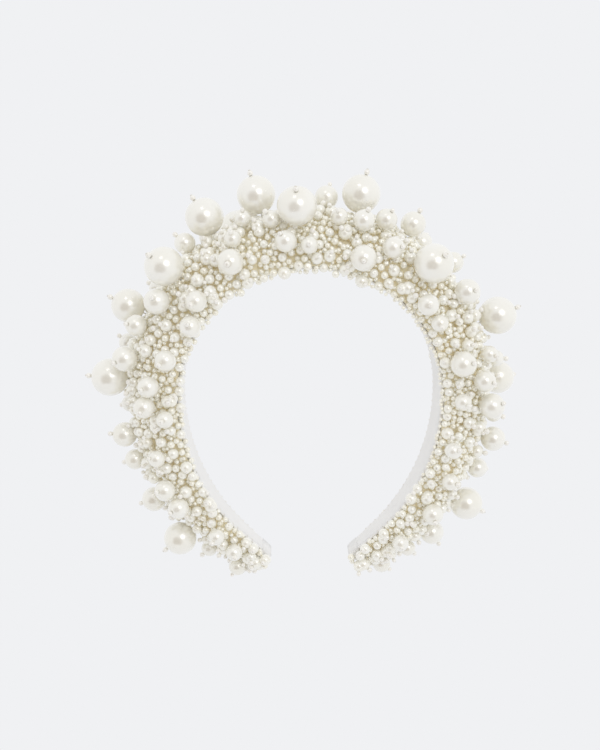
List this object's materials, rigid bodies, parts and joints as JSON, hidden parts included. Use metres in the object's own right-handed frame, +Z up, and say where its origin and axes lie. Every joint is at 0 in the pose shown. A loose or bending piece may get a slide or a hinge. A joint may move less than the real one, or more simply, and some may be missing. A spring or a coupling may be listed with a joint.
{
  "type": "pearl encrusted padded headband",
  "caption": "Wide padded headband on a spring hoop: a domed band crusted with ivory faux pearls of many sizes, soft lining inside, narrow tips, arms that flex open.",
  "frame": {"origin": "centre of the arc of the crown, about the centre of the wearer's head, on the band's middle plane", "axes": "+Z up to the top of the crown, -Y to the front, +X to the right arm as seen from the front"},
  "size_m": [0.2102, 0.0699, 0.1917],
  "materials": {
    "pearl": "ivory pearlised coat over moulded beads, soft nacre sheen with a broad highlight",
    "stop_bead": "small ivory pearlised beads on ivory thread",
    "seed_bead": "dense crust of seed and small pearls, ivory, darker in the gaps",
    "cover_fabric": "ivory satin stretched over the pad, seen between the beads",
    "lining_fabric": "matte off-white short-pile ribbon",
    "hoop_plastic": "natural spring plastic strip, hidden",
    "foam": "soft open-cell foam, hidden"
  },
  "bodies": {
    "crown": {"inner_lining_crown": "lining_fabric", "spring_hoop_crown": "hoop_plastic", "foam_pad_crown": "foam", "fabric_cover_crown": "cover_fabric", "seed_bead_crust_crown": "seed_bead", "large_pearl_01": "pearl", "large_pearl_02": "pearl", "large_pearl_03": "pearl", "large_pearl_04": "pearl", "large_pearl_05": "pearl", "large_pearl_06": "pearl", "large_pearl_13": "pearl", "large_pearl_14": "pearl", "stop_bead_01": "stop_bead", "stop_bead_02": "stop_bead", "stop_bead_03": "stop_bead", "stop_bead_04": "stop_bead", "stop_bead_05": "stop_bead", "stop_bead_06": "stop_bead", "stop_bead_13": "stop_bead", "stop_bead_14": "stop_bead", "medium_pearls_crown_front": "pearl", "medium_pearls_crown_top": "pearl", "medium_pearls_crown_back": "pearl"},
    "left_arm": {"inner_lining_left": "lining_fabric", "spring_hoop_left": "hoop_plastic", "foam_pad_left": "foam", "fabric_cover_left": "cover_fabric", "seed_bead_crust_left": "seed_bead", "tip_wrap_left": "lining_fabric", "large_pearl_07": "pearl", "large_pearl_08": "pearl", "large_pearl_12": "pearl", "large_pearl_15": "pearl", "stop_bead_07": "stop_bead", "stop_bead_08": "stop_bead", "stop_bead_12": "stop_bead", "stop_bead_15": "stop_bead", "medium_pearls_left_front": "pearl", "medium_pearls_left_top": "pearl", "medium_pearls_left_back": "pearl"},
    "right_arm": {"inner_lining_right": "lining_fabric", "spring_hoop_right": "hoop_plastic", "foam_pad_right": "foam", "fabric_cover_right": "cover_fabric", "seed_bead_crust_right": "seed_bead", "tip_wrap_right": "lining_fabric", "large_pearl_09": "pearl", "large_pearl_10": "pearl", "large_pearl_11": "pearl", "large_pearl_16": "pearl", "stop_bead_09": "stop_bead", "stop_bead_10": "stop_bead", "stop_bead_11": "stop_bead", "stop_bead_16": "stop_bead", "medium_pearls_right_front": "pearl", "medium_pearls_right_top": "pearl", "medium_pearls_right_back": "pearl"}
  },
  "joints": [
    {"name": "left_flex", "type": "hinge", "parent": "crown", "child": "left_arm", "pos_m": [-0.0527, 0, 0.03507], "axis": [0, 1, 0], "range_deg": [-3, 20], "stiffness_Nm_per_rad": 0.8},
    {"name": "right_flex", "type": "hinge", "parent": "crown", "child": "right_arm", "pos_m": [0.0527, 0, 0.03507], "axis": [0, -1, 0], "range_deg": [-3, 20], "stiffness_Nm_per_rad": 0.8}
  ]
}
